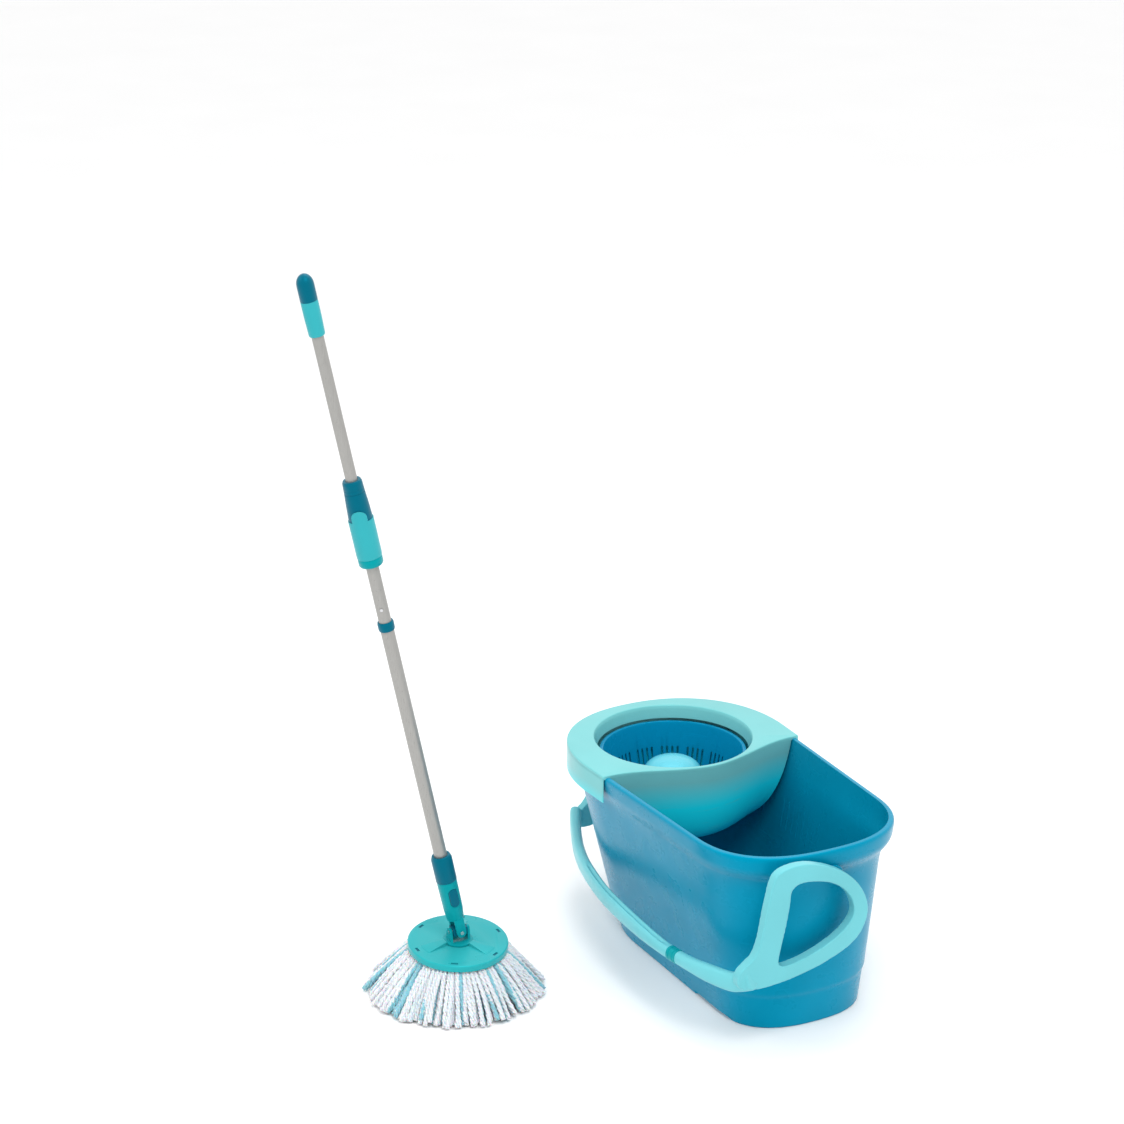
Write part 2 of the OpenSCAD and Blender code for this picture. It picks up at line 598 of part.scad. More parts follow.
module drive_nut() color([0.86, 0.84, 0.78]) on_handle() difference() {
    translate([0, 0, upper_low + 1]) cylinder(r = upper_in, h = nut_h);
    rod_strip(rod_w + 0.9, rod_t + 0.9, upper_low, upper_low + nut_h + 2);
}

module grip_sleeve() color([0.34, 0.79, 0.84]) on_handle() rotate_extrude() polygon([[upper_r, grip_low],
    [grip_r - 1.2, grip_low], [grip_r - 0.6, grip_low + 2], [grip_r, grip_low + 26], [grip_r, grip_mid],
    [upper_r, grip_mid]]);

module grip_cap() color([0.02, 0.42, 0.52]) on_handle() rotate_extrude() polygon(concat(
    [[upper_r, grip_mid + fit], [grip_r, grip_mid + fit]],
    [for (a = [0:15:90]) [grip_r * cos(a), grip_top + 14 * (sin(a) - 1)]],
    [[0, grip_seat], [upper_r, grip_seat]]));

bucket_tub();
spin_insert();
basket_axle();
thrust_washer();
axle_clip();
pivot_pins();
bucket_feet();
spin_basket();
hub_cap();
basket_bush();
bail_handle();
grip_insert();
disc_plate();
mop_ring();
fringe_white();
fringe_blue();
yoke();
cross_block();
yoke_pin();
fork_pins();
connector();
connector_button();
button_spring();
lower_sleeve();
lower_tube();
tube_ring();
tube_rivet();
middle_tube();
clutch_bearing();
drive_rod();
rod_collar();
coupling_housing();
top_guide();
lock_sleeve();
lock_ring();
upper_tube();
drive_nut();
grip_sleeve();
grip_cap();
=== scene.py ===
"""Looks of the spin mop set: a bucket with a turning basket and a bail, and a disc mop on a push-to-spin handle.

Lengths are in millimetres up to the point where a mesh is made; the camera, lights and materials are in metres.
"""
import json
import math
import random

import bmesh
import bpy
import numpy as np
from mathutils import Matrix, Vector


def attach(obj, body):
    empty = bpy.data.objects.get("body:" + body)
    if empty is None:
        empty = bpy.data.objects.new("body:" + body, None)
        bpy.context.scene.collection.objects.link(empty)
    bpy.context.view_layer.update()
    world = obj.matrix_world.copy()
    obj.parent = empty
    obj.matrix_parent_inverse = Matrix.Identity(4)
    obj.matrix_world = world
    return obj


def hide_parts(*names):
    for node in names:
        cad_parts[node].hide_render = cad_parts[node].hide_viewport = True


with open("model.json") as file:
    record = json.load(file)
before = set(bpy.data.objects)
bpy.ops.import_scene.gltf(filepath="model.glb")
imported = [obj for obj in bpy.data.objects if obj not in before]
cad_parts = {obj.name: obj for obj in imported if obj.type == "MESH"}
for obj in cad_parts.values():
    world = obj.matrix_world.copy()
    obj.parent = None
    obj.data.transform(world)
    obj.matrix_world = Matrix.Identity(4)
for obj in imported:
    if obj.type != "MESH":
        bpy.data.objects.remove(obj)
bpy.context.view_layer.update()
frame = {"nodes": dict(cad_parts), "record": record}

NODES = frame["nodes"]
MM = 0.001
TAU = 2 * math.pi
scene = bpy.context.scene

# ---------------------------------------------------------------- camera, lights, floor

LENS, SENSOR, FAR_CLIP = 96.1, 36, 100
CAM_AT = (3.234, -1.948, 1.92)
CAM_PITCH, CAM_HEADING = math.radians(70.3), math.radians(62.3)

cam_data = bpy.data.cameras.new("Camera")
cam_data.lens = LENS
cam_data.sensor_width = SENSOR
cam_data.clip_end = FAR_CLIP
camera = bpy.data.objects.new("Camera", cam_data)
camera.location = CAM_AT
camera.rotation_euler = (CAM_PITCH, 0, CAM_HEADING)
scene.collection.objects.link(camera)
scene.camera = camera

CAM_RIGHT = Vector((math.cos(CAM_HEADING), math.sin(CAM_HEADING), 0))
CAM_BACK = Vector((CAM_RIGHT.y, -CAM_RIGHT.x, 0))
AIM = Vector((-0.02, -0.2, 0.2))
WORLD_STRENGTH = 1.06


def area_light(name, right, back, up, size, watts):
    """White disc light, placed from the aim point along the camera's right, back and up, and turned to it."""
    data = bpy.data.lights.new(name, "AREA")
    data.shape = "DISK"
    data.size = size
    data.energy = watts
    lamp = bpy.data.objects.new(name, data)
    lamp.location = AIM + CAM_RIGHT * right + CAM_BACK * back + Vector((0, 0, up))
    lamp.rotation_mode = "QUATERNION"
    lamp.rotation_quaternion = (AIM - lamp.location).to_track_quat("-Z", "Y")
    scene.collection.objects.link(lamp)


area_light("Key", -2.3, 0.7, 2.1, 1.3, 12)
area_light("Fill", 0.5, 1.9, 3.0, 1.6, 44)
area_light("Top", 0.2, -0.9, 2.6, 2.2, 20)

world = bpy.data.worlds.new("Studio")
world.use_nodes = True
world.node_tree.nodes["Background"].inputs["Color"].default_value = (1, 1, 1, 1)
world.node_tree.nodes["Background"].inputs["Strength"].default_value = WORLD_STRENGTH
scene.world = world
scene.view_settings.view_transform = "Standard"

# ---------------------------------------------------------------- materials


def linear(rgb):
    """sRGB 0-255 to linear."""
    out = []
    for c in rgb:
        c /= 255
        out.append(c / 12.92 if c <= 0.04045 else ((c + 0.055) / 1.055) ** 2.4)
    return (*out, 1)


def scaled(colour, k):
    """The colour k times as bright, opaque."""
    return tuple(min(1, c * k) for c in colour[:3]) + (1,)


class Shader:
    """A Principled material with helpers for noise in object space; noise scales are per metre."""

    def __init__(self, name):
        self.mat = bpy.data.materials.new(name)
        self.mat.use_nodes = True
        self.tree = self.mat.node_tree
        self.bsdf = self.tree.nodes["Principled BSDF"]
        self.coord = self.tree.nodes.new("ShaderNodeTexCoord").outputs["Object"]

    def node(self, kind, **values):
        n = self.tree.nodes.new(kind)
        for key, value in values.items():
            setattr(n, key, value)
        return n

    def put(self, target, value):
        """Links a socket to the target, or sets the target to a plain value."""
        if isinstance(value, bpy.types.NodeSocket):
            self.tree.links.new(value, target)
        else:
            target.default_value = value

    def noise(self, scale, detail=2, stretch=None, rough=0.5):
        n = self.node("ShaderNodeTexNoise")
        n.inputs["Scale"].default_value = scale
        n.inputs["Detail"].default_value = detail
        n.inputs["Roughness"].default_value = rough
        where = self.coord
        if stretch:
            m = self.node("ShaderNodeMapping")
            m.inputs["Scale"].default_value = stretch
            self.put(m.inputs["Vector"], where)
            where = m.outputs["Vector"]
        self.put(n.inputs["Vector"], where)
        return n.outputs["Fac"]

    def span(self, value, low, high, from_low=0.3, from_high=0.7):
        """Maps from_low..from_high to low..high, clamped."""
        n = self.node("ShaderNodeMapRange")
        n.inputs["From Min"].default_value = from_low
        n.inputs["From Max"].default_value = from_high
        n.inputs["To Min"].default_value = low
        n.inputs["To Max"].default_value = high
        self.put(n.inputs["Value"], value)
        return n.outputs["Result"]

    def mix(self, a, b, fac):
        n = self.node("ShaderNodeMix", data_type="RGBA")
        self.put(n.inputs["Factor"], fac)
        self.put(n.inputs["A"], a)
        self.put(n.inputs["B"], b)
        return n.outputs["Result"]

    def add(self, a, b):
        n = self.node("ShaderNodeMath", operation="ADD")
        self.put(n.inputs[0], a)
        self.put(n.inputs[1], b)
        return n.outputs["Value"]

    def bump(self, height, distance, strength):
        n = self.node("ShaderNodeBump")
        n.inputs["Strength"].default_value = strength
        n.inputs["Distance"].default_value = distance
        self.put(n.inputs["Height"], height)
        self.put(self.bsdf.inputs["Normal"], n.outputs["Normal"])


CLOUD_SCALE, SCUFF_SCALE, GLOSS_SCALE, RIPPLE_SCALE, GRAIN_SCALE = 7, 18, 34, 55, 1500
CLOUD_DARK, CLOUD_LIGHT = 0.94, 1.06
# Heights in metres over which the painted light in the collar's bowl fades out: full below the first, gone above
# the second
PAINTED_LIGHT_FULL_Z, PAINTED_LIGHT_END_Z = 0.205, 0.245
SCUFF_ROUGH = 0.05
FINE_GRAIN, SATIN_GRAIN, COARSE_GRAIN, RUBBER_GRAIN = 0.00002, 0.00003, 0.00004, 0.00008


def plastic(name, rgb, rough, grain=FINE_GRAIN, coat=0.0, tinted=True, deep=None):
    """Moulded plastic: cloudy pigment, fine mould grain, uneven gloss and faint scuffs.

    Tinted plastic gives head-on reflections its own hue. With deep, the colour turns to that one below the rim:
    painted light, a brighter colour standing in for the light the shaded bowl lacks.
    """
    s = Shader(name)
    base = linear(rgb)
    cloud = s.mix(scaled(base, CLOUD_DARK), scaled(base, CLOUD_LIGHT), s.span(s.noise(CLOUD_SCALE, 3), 0, 1))
    # Painted light: below the rim the colour turns to the brighter deep one, in place of the light the bowl
    # doesn't get
    if deep:
        split = s.node("ShaderNodeSeparateXYZ")
        s.put(split.inputs["Vector"], s.coord)
        cloud = s.mix(linear(deep), cloud, s.span(split.outputs["Z"], 0, 1, PAINTED_LIGHT_FULL_Z, PAINTED_LIGHT_END_Z))
    scuff = s.noise(SCUFF_SCALE, 4, (1, 1, 14), 0.65)
    cloud = s.mix(cloud, scaled(base, CLOUD_LIGHT), s.span(scuff, 0, 0.25, 0.6, 0.75))
    s.put(s.bsdf.inputs["Base Color"], cloud)
    gloss = s.span(s.noise(GLOSS_SCALE, 3), rough - 0.04, rough + 0.05)
    s.put(s.bsdf.inputs["Roughness"], s.add(gloss, s.span(scuff, 0, SCUFF_ROUGH, 0.58, 0.72)))
    s.bsdf.inputs["IOR"].default_value = 1.47
    if tinted:
        s.bsdf.inputs["Specular Tint"].default_value = scaled(base, 1 / max(base[:3]))
    s.bsdf.inputs["Coat Weight"].default_value = coat
    s.bsdf.inputs["Coat Roughness"].default_value = 0.12
    s.bump(s.add(s.noise(GRAIN_SCALE, 2), s.span(s.noise(RIPPLE_SCALE, 2), 0, 0.35)), grain, 0.6)
    return s.mat


BRUSH_SCALE, MILL_SCALE, PIT_SCALE = 160, 900, 1900


def metal(name, rgb, rough, metallic, brush):
    """Steel or painted tube: noise stretched by brush gives the turning or drawing lines."""
    s = Shader(name)
    base = linear(rgb)
    lines = s.noise(BRUSH_SCALE, 3, brush, 0.6)
    s.put(s.bsdf.inputs["Base Color"], s.mix(scaled(base, 0.9), scaled(base, 1.06), s.span(lines, 0, 1)))
    uneven = s.add(lines, s.noise(MILL_SCALE, 2))
    s.put(s.bsdf.inputs["Roughness"], s.span(uneven, rough - 0.07, rough + 0.09, 0.7, 1.3))
    s.bsdf.inputs["Metallic"].default_value = metallic
    s.bump(s.add(s.noise(PIT_SCALE, 2), lines), FINE_GRAIN, 0.5)
    return s.mat


FIBRE_SCALE, FUZZ_SCALE, DIM_PATCH_SCALE = 900, 2600, 38
FUZZ_DEPTH = 0.0002


def yarn(name, rgb, shade):
    """Twisted microfibre: fuzzy, matt, with painted shade in the hollows between the fibres."""
    s = Shader(name)
    base = linear(rgb)
    fibre = s.noise(FIBRE_SCALE, 4, (1, 1, 0.35), 0.7)
    # Painted shade: the fibre noise darkens the yarn towards shade times its colour, as in the hollows between
    # fibres
    tint = s.mix(scaled(base, shade), base, s.span(fibre, 0, 1, 0.32, 0.6))
    # Random darker patches over the yarn
    dim_patches = s.span(s.noise(DIM_PATCH_SCALE, 2), 0, 0.35, 0.5, 0.75)
    s.put(s.bsdf.inputs["Base Color"], s.mix(tint, scaled(base, 0.86), dim_patches))
    s.bsdf.inputs["Roughness"].default_value = 0.95
    s.bsdf.inputs["Sheen Weight"].default_value = 0.35
    s.bsdf.inputs["Sheen Roughness"].default_value = 0.6
    s.bsdf.inputs["Subsurface Weight"].default_value = 0.35
    s.bsdf.inputs["Subsurface Scale"].default_value = 0.004
    s.bump(s.add(fibre, s.noise(FUZZ_SCALE, 2)), FUZZ_DEPTH, 0.6)
    return s.mat


TURNED = (1, 1, 9)
ALONG = (7, 7, 0.4)
GLOSSY, SEMI, SATIN = 0.28, 0.32, 0.34
MATS = {
    "tub_blue": plastic("tub_blue", (0, 131, 163), GLOSSY),
    # The collar's deep colour is painted light, brightening its bowl below the rim
    "collar_teal": plastic("collar_teal", (108, 182, 184), SEMI, SATIN_GRAIN, coat=0.1, deep=(24, 224, 238)),
    "basket_blue": plastic("basket_blue", (2, 126, 166), GLOSSY),
    "hub_cyan": plastic("hub_cyan", (90, 184, 200), 0.27, coat=0.1),
    "bail_teal": plastic("bail_teal", (104, 186, 194), SATIN, SATIN_GRAIN, coat=0.1),
    "grip_teal": plastic("grip_teal", (52, 158, 166), SEMI, SATIN_GRAIN),
    "accent_teal": plastic("accent_teal", (8, 140, 147), GLOSSY),
    "disc_teal": plastic("disc_teal", (40, 158, 163), 0.3, SATIN_GRAIN),
    "dark_teal": plastic("dark_teal", (6, 90, 110), SATIN, COARSE_GRAIN),
    "steel": metal("steel", (196, 197, 199), 0.25, 1.0, TURNED),
    "tube_grey": metal("tube_grey", (156, 155, 152), SATIN, 0.45, ALONG),
    "bearing_white": plastic("bearing_white", (226, 223, 212), 0.42, tinted=False),
    "foot_rubber": plastic("foot_rubber", (44, 47, 50), 0.75, RUBBER_GRAIN, tinted=False),
    "yarn_white": yarn("yarn_white", (228, 229, 234), 0.86),
    "yarn_blue": yarn("yarn_blue", (134, 196, 210), 0.8),
}
SLOT_OF = {p["node"]: p["material_slot"] for p in frame["record"]["subparts"]}
for node_name, cad in NODES.items():
    cad.data.materials.clear()
    cad.data.materials.append(MATS[SLOT_OF[node_name]])

# ---------------------------------------------------------------- mesh helpers


def piece(name, verts, faces, slot, body, stands_for, sharp=38):
    """A new mesh piece in millimetres, smooth except at edges over the sharp angle."""
    mesh = bpy.data.meshes.new(name)
    mesh.from_pydata((np.asarray(verts, float) * MM).tolist(), [], [list(f) for f in faces])
    mesh.validate()
    return dress(bpy.data.objects.new(name, mesh), slot, body, stands_for, sharp)


def dress(obj, slot, body, stands_for, sharp):
    """Links the object, turns its faces outwards, and gives it its material, its body and what it replaces."""
    scene.collection.objects.link(obj)
    bm = bmesh.new()
    bm.from_mesh(obj.data)
    bmesh.ops.recalc_face_normals(bm, faces=bm.faces)
    bm.to_mesh(obj.data)
    bm.free()
    obj.data.materials.clear()
    obj.data.materials.append(MATS[slot])
    obj.data.shade_smooth()
    obj.data.set_sharp_from_angle(angle=math.radians(sharp))
    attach(obj, body)
    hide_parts(*stands_for)
    return obj


class Build:
    """Collects vertices and faces of several shells into one mesh."""

    def __init__(self):
        self.verts, self.faces = [], []

    def grid(self, rings, closed=True, cap_low=False, cap_high=False):
        """Skin through rings of equal length, open or closed, with an optional face over each end."""
        start, n = len(self.verts), len(rings[0])
        for ring in rings:
            self.verts.extend([tuple(p) for p in ring])
        for k in range(len(rings) - 1):
            for i in range(n if closed else n - 1):
                j = (i + 1) % n
                a = start + k * n
                self.faces.append((a + i, a + j, a + n + j, a + n + i))
        if cap_low:
            self.faces.append(tuple(start + i for i in range(n)))
        if cap_high:
            self.faces.append(tuple(start + (len(rings) - 1) * n + i for i in range(n)))
        return self


LONGEST_CUT = 0.48  # of a side, so that two neighbouring corners don't meet


def rounded(points, steps=5):
    """Polyline with rounded corners: the last number of a point is how far from its corner the curve starts."""
    out = []
    for i, (*place, reach) in enumerate(points):
        here = np.array(place, float)
        if reach <= 0 or i in (0, len(points) - 1):
            out.append(here)
            continue
        before, after = np.array(points[i - 1][:-1], float), np.array(points[i + 1][:-1], float)
        da, db = np.linalg.norm(before - here), np.linalg.norm(after - here)
        a = here + (before - here) * min(reach / da, LONGEST_CUT)
        b = here + (after - here) * min(reach / db, LONGEST_CUT)
        for k in range(steps + 1):
            t = k / steps
            out.append((1 - t) ** 2 * a + 2 * t * (1 - t) * here + t * t * b)
    return out


def turned(profile, count, centre):
    """Rings of a body of revolution about an upright axis through centre, from (radius, height) points."""
    angles = [TAU * i / count for i in range(count)]
    return [[(centre[0] + r * math.cos(a), centre[1] + r * math.sin(a), z) for a in angles]
            for r, z in profile]


WELD = 0.004
FLAT_ANGLE, HARD_ANGLE = math.radians(0.6), math.radians(31)
BEVEL_STEPS = 3


def refined(name, node, width, sharp=40):
    """The CAD part's own shape with its hard edges rounded by width, in millimetres."""
    bm = bmesh.new()
    bm.from_mesh(NODES[node].data)
    bmesh.ops.remove_doubles(bm, verts=bm.verts, dist=WELD * MM)
    bmesh.ops.dissolve_limit(bm, angle_limit=FLAT_ANGLE, verts=bm.verts, edges=bm.edges)
    hard = [e for e in bm.edges if len(e.link_faces) == 2 and e.calc_face_angle(0) > HARD_ANGLE]
    bmesh.ops.bevel(bm, geom=hard, offset=width * MM, segments=BEVEL_STEPS, profile=0.5,
                    affect="EDGES", clamp_overlap=True)
    mesh = bpy.data.meshes.new(name)
    bm.to_mesh(mesh)
    bm.free()
    obj = bpy.data.objects.new(name, mesh)
    body = next(b for b, members in frame["record"]["behaviour"]["bodies"].items() if node in members)
    return dress(obj, SLOT_OF[node], body, (node,), sharp)


# ---------------------------------------------------------------- bucket

TUB_H = 264
# Outlines of the rim and of the base: ends on X, half widths on Y, and how far each end's rounding runs
RIM = dict(rear=-271, front=281, half_rear=156.5, half_front=140.5, round_rear=163, round_front=120)
BASE = dict(rear=-191.5, front=255, half_rear=109.5, half_front=109.5, round_rear=131, round_front=95)
INWARDS = dict(rear=1, front=-1, half_rear=-1, half_front=-1, round_rear=-1, round_front=-1)
REAR_POWER, FRONT_POWER = 2.22, 2.5
END_STEPS, SIDE_STEPS = 46, 36
FLARE, SIDE_FLARE = 8, 0.7  # how far the front wall stands in below the rim, and the side walls' share of it


def mix(a, b, t):
    return a + (b - a) * t


def half_outline(z, inset, pull=0.0, steps=END_STEPS):
    """Half outline of the tub at height z, from the middle of its front round to the middle of its rear.

    It lies inset behind the wall's outer face, and pull draws the front in further.
    """
    drawn_in = {"front": pull, "half_front": pull * SIDE_FLARE}
    d = {k: mix(BASE[k], RIM[k] - drawn_in.get(k, 0), z / TUB_H) for k in RIM}
    for k, sign in INWARDS.items():
        d[k] += sign * inset
    rear_mid, front_mid = d["rear"] + d["round_rear"], d["front"] - d["round_front"]

    def half_width(x):
        return mix(d["half_rear"], d["half_front"], (x - rear_mid) / (d["front"] - rear_mid))

    out = []
    for i in range(steps + 1):
        a = math.pi / 2 * i / steps
        x = front_mid + d["round_front"] * max(math.cos(a), 0) ** (2 / FRONT_POWER)
        out.append((x, half_width(x) * math.sin(a) ** (2 / FRONT_POWER)))
    for i in range(1, SIDE_STEPS):
        x = mix(front_mid, rear_mid, i / SIDE_STEPS)
        out.append((x, half_width(x)))
    for i in range(steps + 1):
        a = math.pi / 2 * i / steps
        out.append((rear_mid - d["round_rear"] * math.sin(a) ** (2 / REAR_POWER),
                    d["half_rear"] * max(math.cos(a), 0) ** (2 / REAR_POWER)))
    out[0], out[-1] = (out[0][0], 0), (out[-1][0], 0)
    return out


def mirrored(half):
    """Closed ring from a half outline that starts and ends on the X axis."""
    return half + [(x, -y) for x, y in reversed(half[1:-1])]


NOTCH_X, NOTCH_Y, NOTCH_H = (108, 203), 96, 5


def tub_ring(inset, z, pull):
    """One ring of the tub's skin; low rings step in at the finger notches under both long sides."""
    ring = []
    for x, y in mirrored(half_outline(z, inset, pull)):
        if z <= NOTCH_H and NOTCH_X[0] < x < NOTCH_X[1]:
            y = math.copysign(min(abs(y), NOTCH_Y), y)
        ring.append((x, y, z))
    return ring


# Both skins from bottom to rim and back down: inset, height, pull, and how far the corner's curve reaches
outer_skin = rounded([
    (13, 0, FLARE, 0), (7.6, 0, FLARE, 2.6), (6.8, 46, FLARE, 3), (5, 52, FLARE, 3), (5, 150, FLARE, 0),
    (5, 222, FLARE, 24), (1.6, 235, 1.5, 7), (0, 243, 0, 4), (0, TUB_H, 0, 9), (8, TUB_H, 0, 3.6)], 8)
inner_skin = rounded([
    (7.9, TUB_H - 3, 0, 0), (8, 240, 0, 12), (8, 216, FLARE, 12), (8, 150, FLARE, 0),
    (8.3, 30, FLARE, 16), (14, 4, FLARE, 9), (34, 4, FLARE, 0)], 6)
for height in (NOTCH_H, NOTCH_H + 0.4):
    above = next(i for i, p in enumerate(outer_skin) if p[1] > NOTCH_H)
    outer_skin.insert(above, np.array([7.5, height, FLARE]))
tub = Build().grid([tub_ring(*p) for p in outer_skin + inner_skin], cap_low=True, cap_high=True)

# Faint upright ribs on the inside of the far wall, where the level marks are moulded
RIB_COUNT, RIB_FIRST_X, RIB_GAP, RIB_LOW, RIB_HIGH = 8, -50, 14, 136, 178
RIB_SECTION = ((-1.1, 0.4), (-0.6, -0.5), (0.6, -0.5), (1.1, 0.4))
WALL = 8  # inset of the inner face from the rim's outline
for k in range(RIB_COUNT):
    x = RIB_FIRST_X + RIB_GAP * k
    rib = []
    for z in np.linspace(RIB_LOW, RIB_HIGH, 5):
        side_wall = half_outline(z, WALL, FLARE)[END_STEPS // 2:]
        y = np.interp(-x, [-p[0] for p in side_wall], [p[1] for p in side_wall])
        rib.append([(x + dx, y + dy, z) for dx, dy in RIB_SECTION])
    tub.grid(rib, cap_low=True, cap_high=True)

PIVOT_Z, BOSS_R, BOSS_SIDES = 230, 13, 40
FRONT_TIP, REAR_TIP = 283.1, -276.1


def wall_at(z, outer):
    """X of the tub's outer face at height z on its long axis, at the front end (outer 1) or the rear end (-1)."""
    row = outer_skin[int(np.argmin([abs(p[1] - z) for p in outer_skin[:-3]]))]
    half = half_outline(z, row[0], row[2])
    return half[0][0] if outer > 0 else half[-1][0]


for outer, tip in ((1, FRONT_TIP), (-1, REAR_TIP)):
    angles = [TAU * i / BOSS_SIDES for i in range(BOSS_SIDES)]
    ring = [(BOSS_R * math.cos(a), PIVOT_Z + BOSS_R * math.sin(a)) for a in angles]
    rows = [[(wall_at(z, outer) - outer * 1.5, y, z) for y, z in ring]]
    for r, x in rounded([(BOSS_R, tip - outer * 4, 0), (BOSS_R, tip, 1.2), (7, tip, 0.8),
                         (6.4, tip - outer * 1.2, 0), (5.1, tip - outer * 1.2, 0)]):
        rows.append([(x, y * r / BOSS_R, PIVOT_Z + (z - PIVOT_Z) * r / BOSS_R) for y, z in ring])
    tub.grid(rows)
piece("Tub", tub.verts, tub.faces, "tub_blue", "bucket", ("bucket_tub",))

# ---------------------------------------------------------------- spin insert

BASKET_X = -140
COLLAR_TOP = 267.2
OUT = -2.2  # the collar's skirt stands this far outside the rim
ARCH_MID, ARCH_BACK, ARCH_HALF, ARCH_POWER = -22, 36, 145, 1.9
ARCH_STEPS, ARCH_CORNER = 44, 5
LIP_R, LIP_Z, OPENING_R = 106.5, 249, 113.5
SKIRT_LOW, SKIRT_T = 228, 2.0


def arch_x(y):
    """X of the collar's front edge, which bows back towards both sides."""
    return ARCH_MID - ARCH_BACK * math.sin(math.pi / 2 * min(abs(y) / ARCH_HALF, 1)) ** ARCH_POWER


def behind_arch(z, inset):
    """Half outline behind the arch: the arch from its middle to the rim, a round corner, and the tub's outline."""
    outline = half_outline(z, inset, steps=80)
    rear = [p for p in outline if p[0] < arch_x(p[1]) - ARCH_CORNER]
    inside = [p for p in outline if p[0] >= arch_x(p[1])][-1]
    corner_y = np.interp(0, [arch_x(rear[0][1]) - rear[0][0], arch_x(inside[1]) - inside[0]][::-1],
                         [rear[0][1], inside[1]][::-1])
    corner_y = float(np.clip(corner_y, min(rear[0][1], inside[1]), max(rear[0][1], inside[1])))
    arch = [(arch_x(y), y) for y in np.linspace(0, corner_y - ARCH_CORNER, ARCH_STEPS)]
    tip = (arch_x(corner_y), corner_y)
    bend = rounded([(*arch[-1], 0), (*tip, ARCH_CORNER), (*rear[0], 0)], 6)[1:-1]
    return arch + [tuple(p) for p in bend] + rear


def around(half):
    """Closed ring from a half outline whose ends are first moved onto the X axis."""
    half = [(half[0][0], 0.0)] + list(half[1:-1]) + [(half[-1][0], 0.0)]
    return mirrored(half)


# Collar: from the lip inside the basket's opening, up and over its top, to its edge outside the rim
columns = []
for x, y in around(behind_arch(TUB_H, OUT)):
    reach = math.hypot(x - BASKET_X, y)
    ux, uy = (x - BASKET_X) / reach, y / reach
    profile = rounded([(LIP_R + 2.2, LIP_Z + 0.6, 0), (LIP_R, LIP_Z, 0.7), (OPENING_R - 3.4, 263, 0.8),
                       (OPENING_R - 1.6, COLLAR_TOP, 1.6), (OPENING_R + 0.9, COLLAR_TOP, 0),
                       (reach, COLLAR_TOP + 0.1, 2.4), (reach, TUB_H - 2, 0)])
    columns.append([(BASKET_X + ux * r, uy * r, z) for r, z in profile])
insert = Build().grid([[c[k] for c in columns] for k in range(len(columns[0]))])

# Skirt of the collar, outside the tub's rim, from corner to corner round the rear
*rear_side, rear_middle = behind_arch(TUB_H, OUT)[ARCH_STEPS + 2:]
skirt_path = rear_side + [(rear_middle[0], 0.0)] + [(x, -y) for x, y in reversed(rear_side)]


def pushed(path, distance):
    """The path moved inwards by a distance, square to itself."""
    out = []
    for i, p in enumerate(path):
        a, b = np.array(path[max(i - 1, 0)]), np.array(path[min(i + 1, len(path) - 1)])
        run = (b - a) / np.linalg.norm(b - a)
        out.append((p[0] + run[1] * distance, p[1] - run[0] * distance))
    return out


skirt_rows = rounded([(0, TUB_H - 1, 0), (0, SKIRT_LOW, 1.1), (SKIRT_T, SKIRT_LOW, 0.7), (SKIRT_T, TUB_H - 1, 0)])
rows = [[(x, y, z) for x, y in pushed(skirt_path, -d if skirt_path[0][1] > 0 else d)] for d, z in skirt_rows]
insert.grid(rows, closed=False)
for end in (0, -1):
    start = len(insert.verts)
    insert.verts.extend([r[end] for r in rows])
    insert.faces.append(tuple(range(start, start + len(rows))))

BOWL_LOW, BOWL_R, BOWL_POWER = 148, 82, 2.6
BOWL_T, BOWL_INSET, BOWL_FRONT_STEPS = 2.6, 8.5, 50
BOWL_HEIGHTS = [148.05, 148.6, 150, 152.5, 156, 161, 167, 174, 182, 191, 201, 212, 224, 237, 250, 262.5]


def bowl_ring(z, thin):
    """The bowl: arch in front and tub wall behind, drawn in to a round floor, and thin less in radius."""
    f = (1 - ((COLLAR_TOP - z) / (COLLAR_TOP - BOWL_LOW)) ** BOWL_POWER) ** (1 / BOWL_POWER)
    rear = half_outline(z, BOWL_INSET)[END_STEPS + SIDE_STEPS:]
    side = rear[0][1] - 3
    front_ys = [side * math.sin(math.pi / 2 * i / BOWL_FRONT_STEPS) for i in range(BOWL_FRONT_STEPS + 1)]
    half = [(arch_x(y) - 0.15, y) for y in front_ys] + rear
    out = []
    for x, y in around(half):
        r = math.hypot(x - BASKET_X, y)
        k = (mix(BOWL_R, r, f) - thin) / r
        out.append((BASKET_X + (x - BASKET_X) * k, y * k, z))
    return out


insert.grid([bowl_ring(z, 0) for z in BOWL_HEIGHTS], cap_low=True)
insert.grid([bowl_ring(max(z, BOWL_LOW + 2.9), BOWL_T) for z in BOWL_HEIGHTS[2:]], cap_low=True)
piece("SpinInsert", insert.verts, insert.faces, "collar_teal", "bucket", ("spin_insert",), 50)

# ---------------------------------------------------------------- basket

refined("Basket", "spin_basket", 0.45, sharp=45)
DOME_R, DOME_MID_Z, DOME_H, DOME_POWER = 42, 206, 27, 2.4
DOME_STEPS, DOME_SIDES, DOME_TOP_R = 24, 96, 0.3
dome_profile = [(DOME_R - 0.8, 168.6), (DOME_R - 0.2, 169), (DOME_R, 170)]
for i in range(DOME_STEPS + 1):
    a = math.pi / 2 * i / DOME_STEPS
    dome_profile.append((max(DOME_R * max(math.cos(a), 0) ** (2 / DOME_POWER), DOME_TOP_R),
                         DOME_MID_Z + DOME_H * math.sin(a) ** (2 / DOME_POWER)))
dome = Build().grid(turned(dome_profile, DOME_SIDES, (BASKET_X, 0)), cap_high=True)
piece("HubCap", dome.verts, dome.faces, "hub_cyan", "basket", ("hub_cap",), 60)

# ---------------------------------------------------------------- bail

LOOP_T, LOOP_SLOPE = 14, 0.12
FRONT_X, REAR_X = 285, -278
